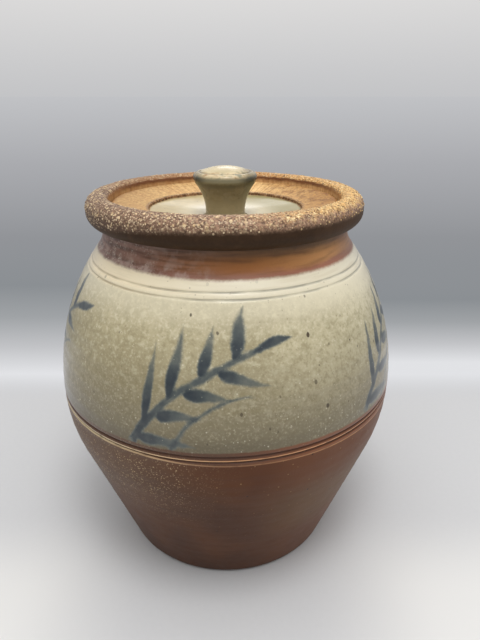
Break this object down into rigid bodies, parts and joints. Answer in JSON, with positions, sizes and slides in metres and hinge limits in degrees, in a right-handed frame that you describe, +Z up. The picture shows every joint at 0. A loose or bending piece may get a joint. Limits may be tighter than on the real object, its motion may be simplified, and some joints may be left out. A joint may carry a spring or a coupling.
{
  "type": "lidded jar",
  "caption": "Wheel-thrown stoneware storage jar with a full belly, tapered foot, rolled rim and a loose dished lid with a finger knob that drops into a gallery inside the rim.",
  "frame": {"origin": "centre of the flat base that the jar stands on", "axes": "+Z up along the axis that every piece is turned about; the pictured side faces -Y"},
  "size_m": [0.19, 0.19, 0.2199],
  "materials": {
    "jar_stoneware": "satin grey-green glaze over the shoulder and belly, toasted brown clay below, speckled ash on the rim",
    "lid_stoneware": "toasted orange flange, pale glossy glaze in the dish",
    "knob_stoneware": "glossy grey-green glaze, pale on the button"
  },
  "bodies": {
    "jar": {"jar": "jar_stoneware"},
    "lid": {"lid": "lid_stoneware", "lid_knob": "knob_stoneware"}
  },
  "joints": [
    {"name": "lid_lift", "type": "slide", "parent": "jar", "child": "lid", "axis": [0, 0, 1], "range_m": [0, 0.12]}
  ]
}
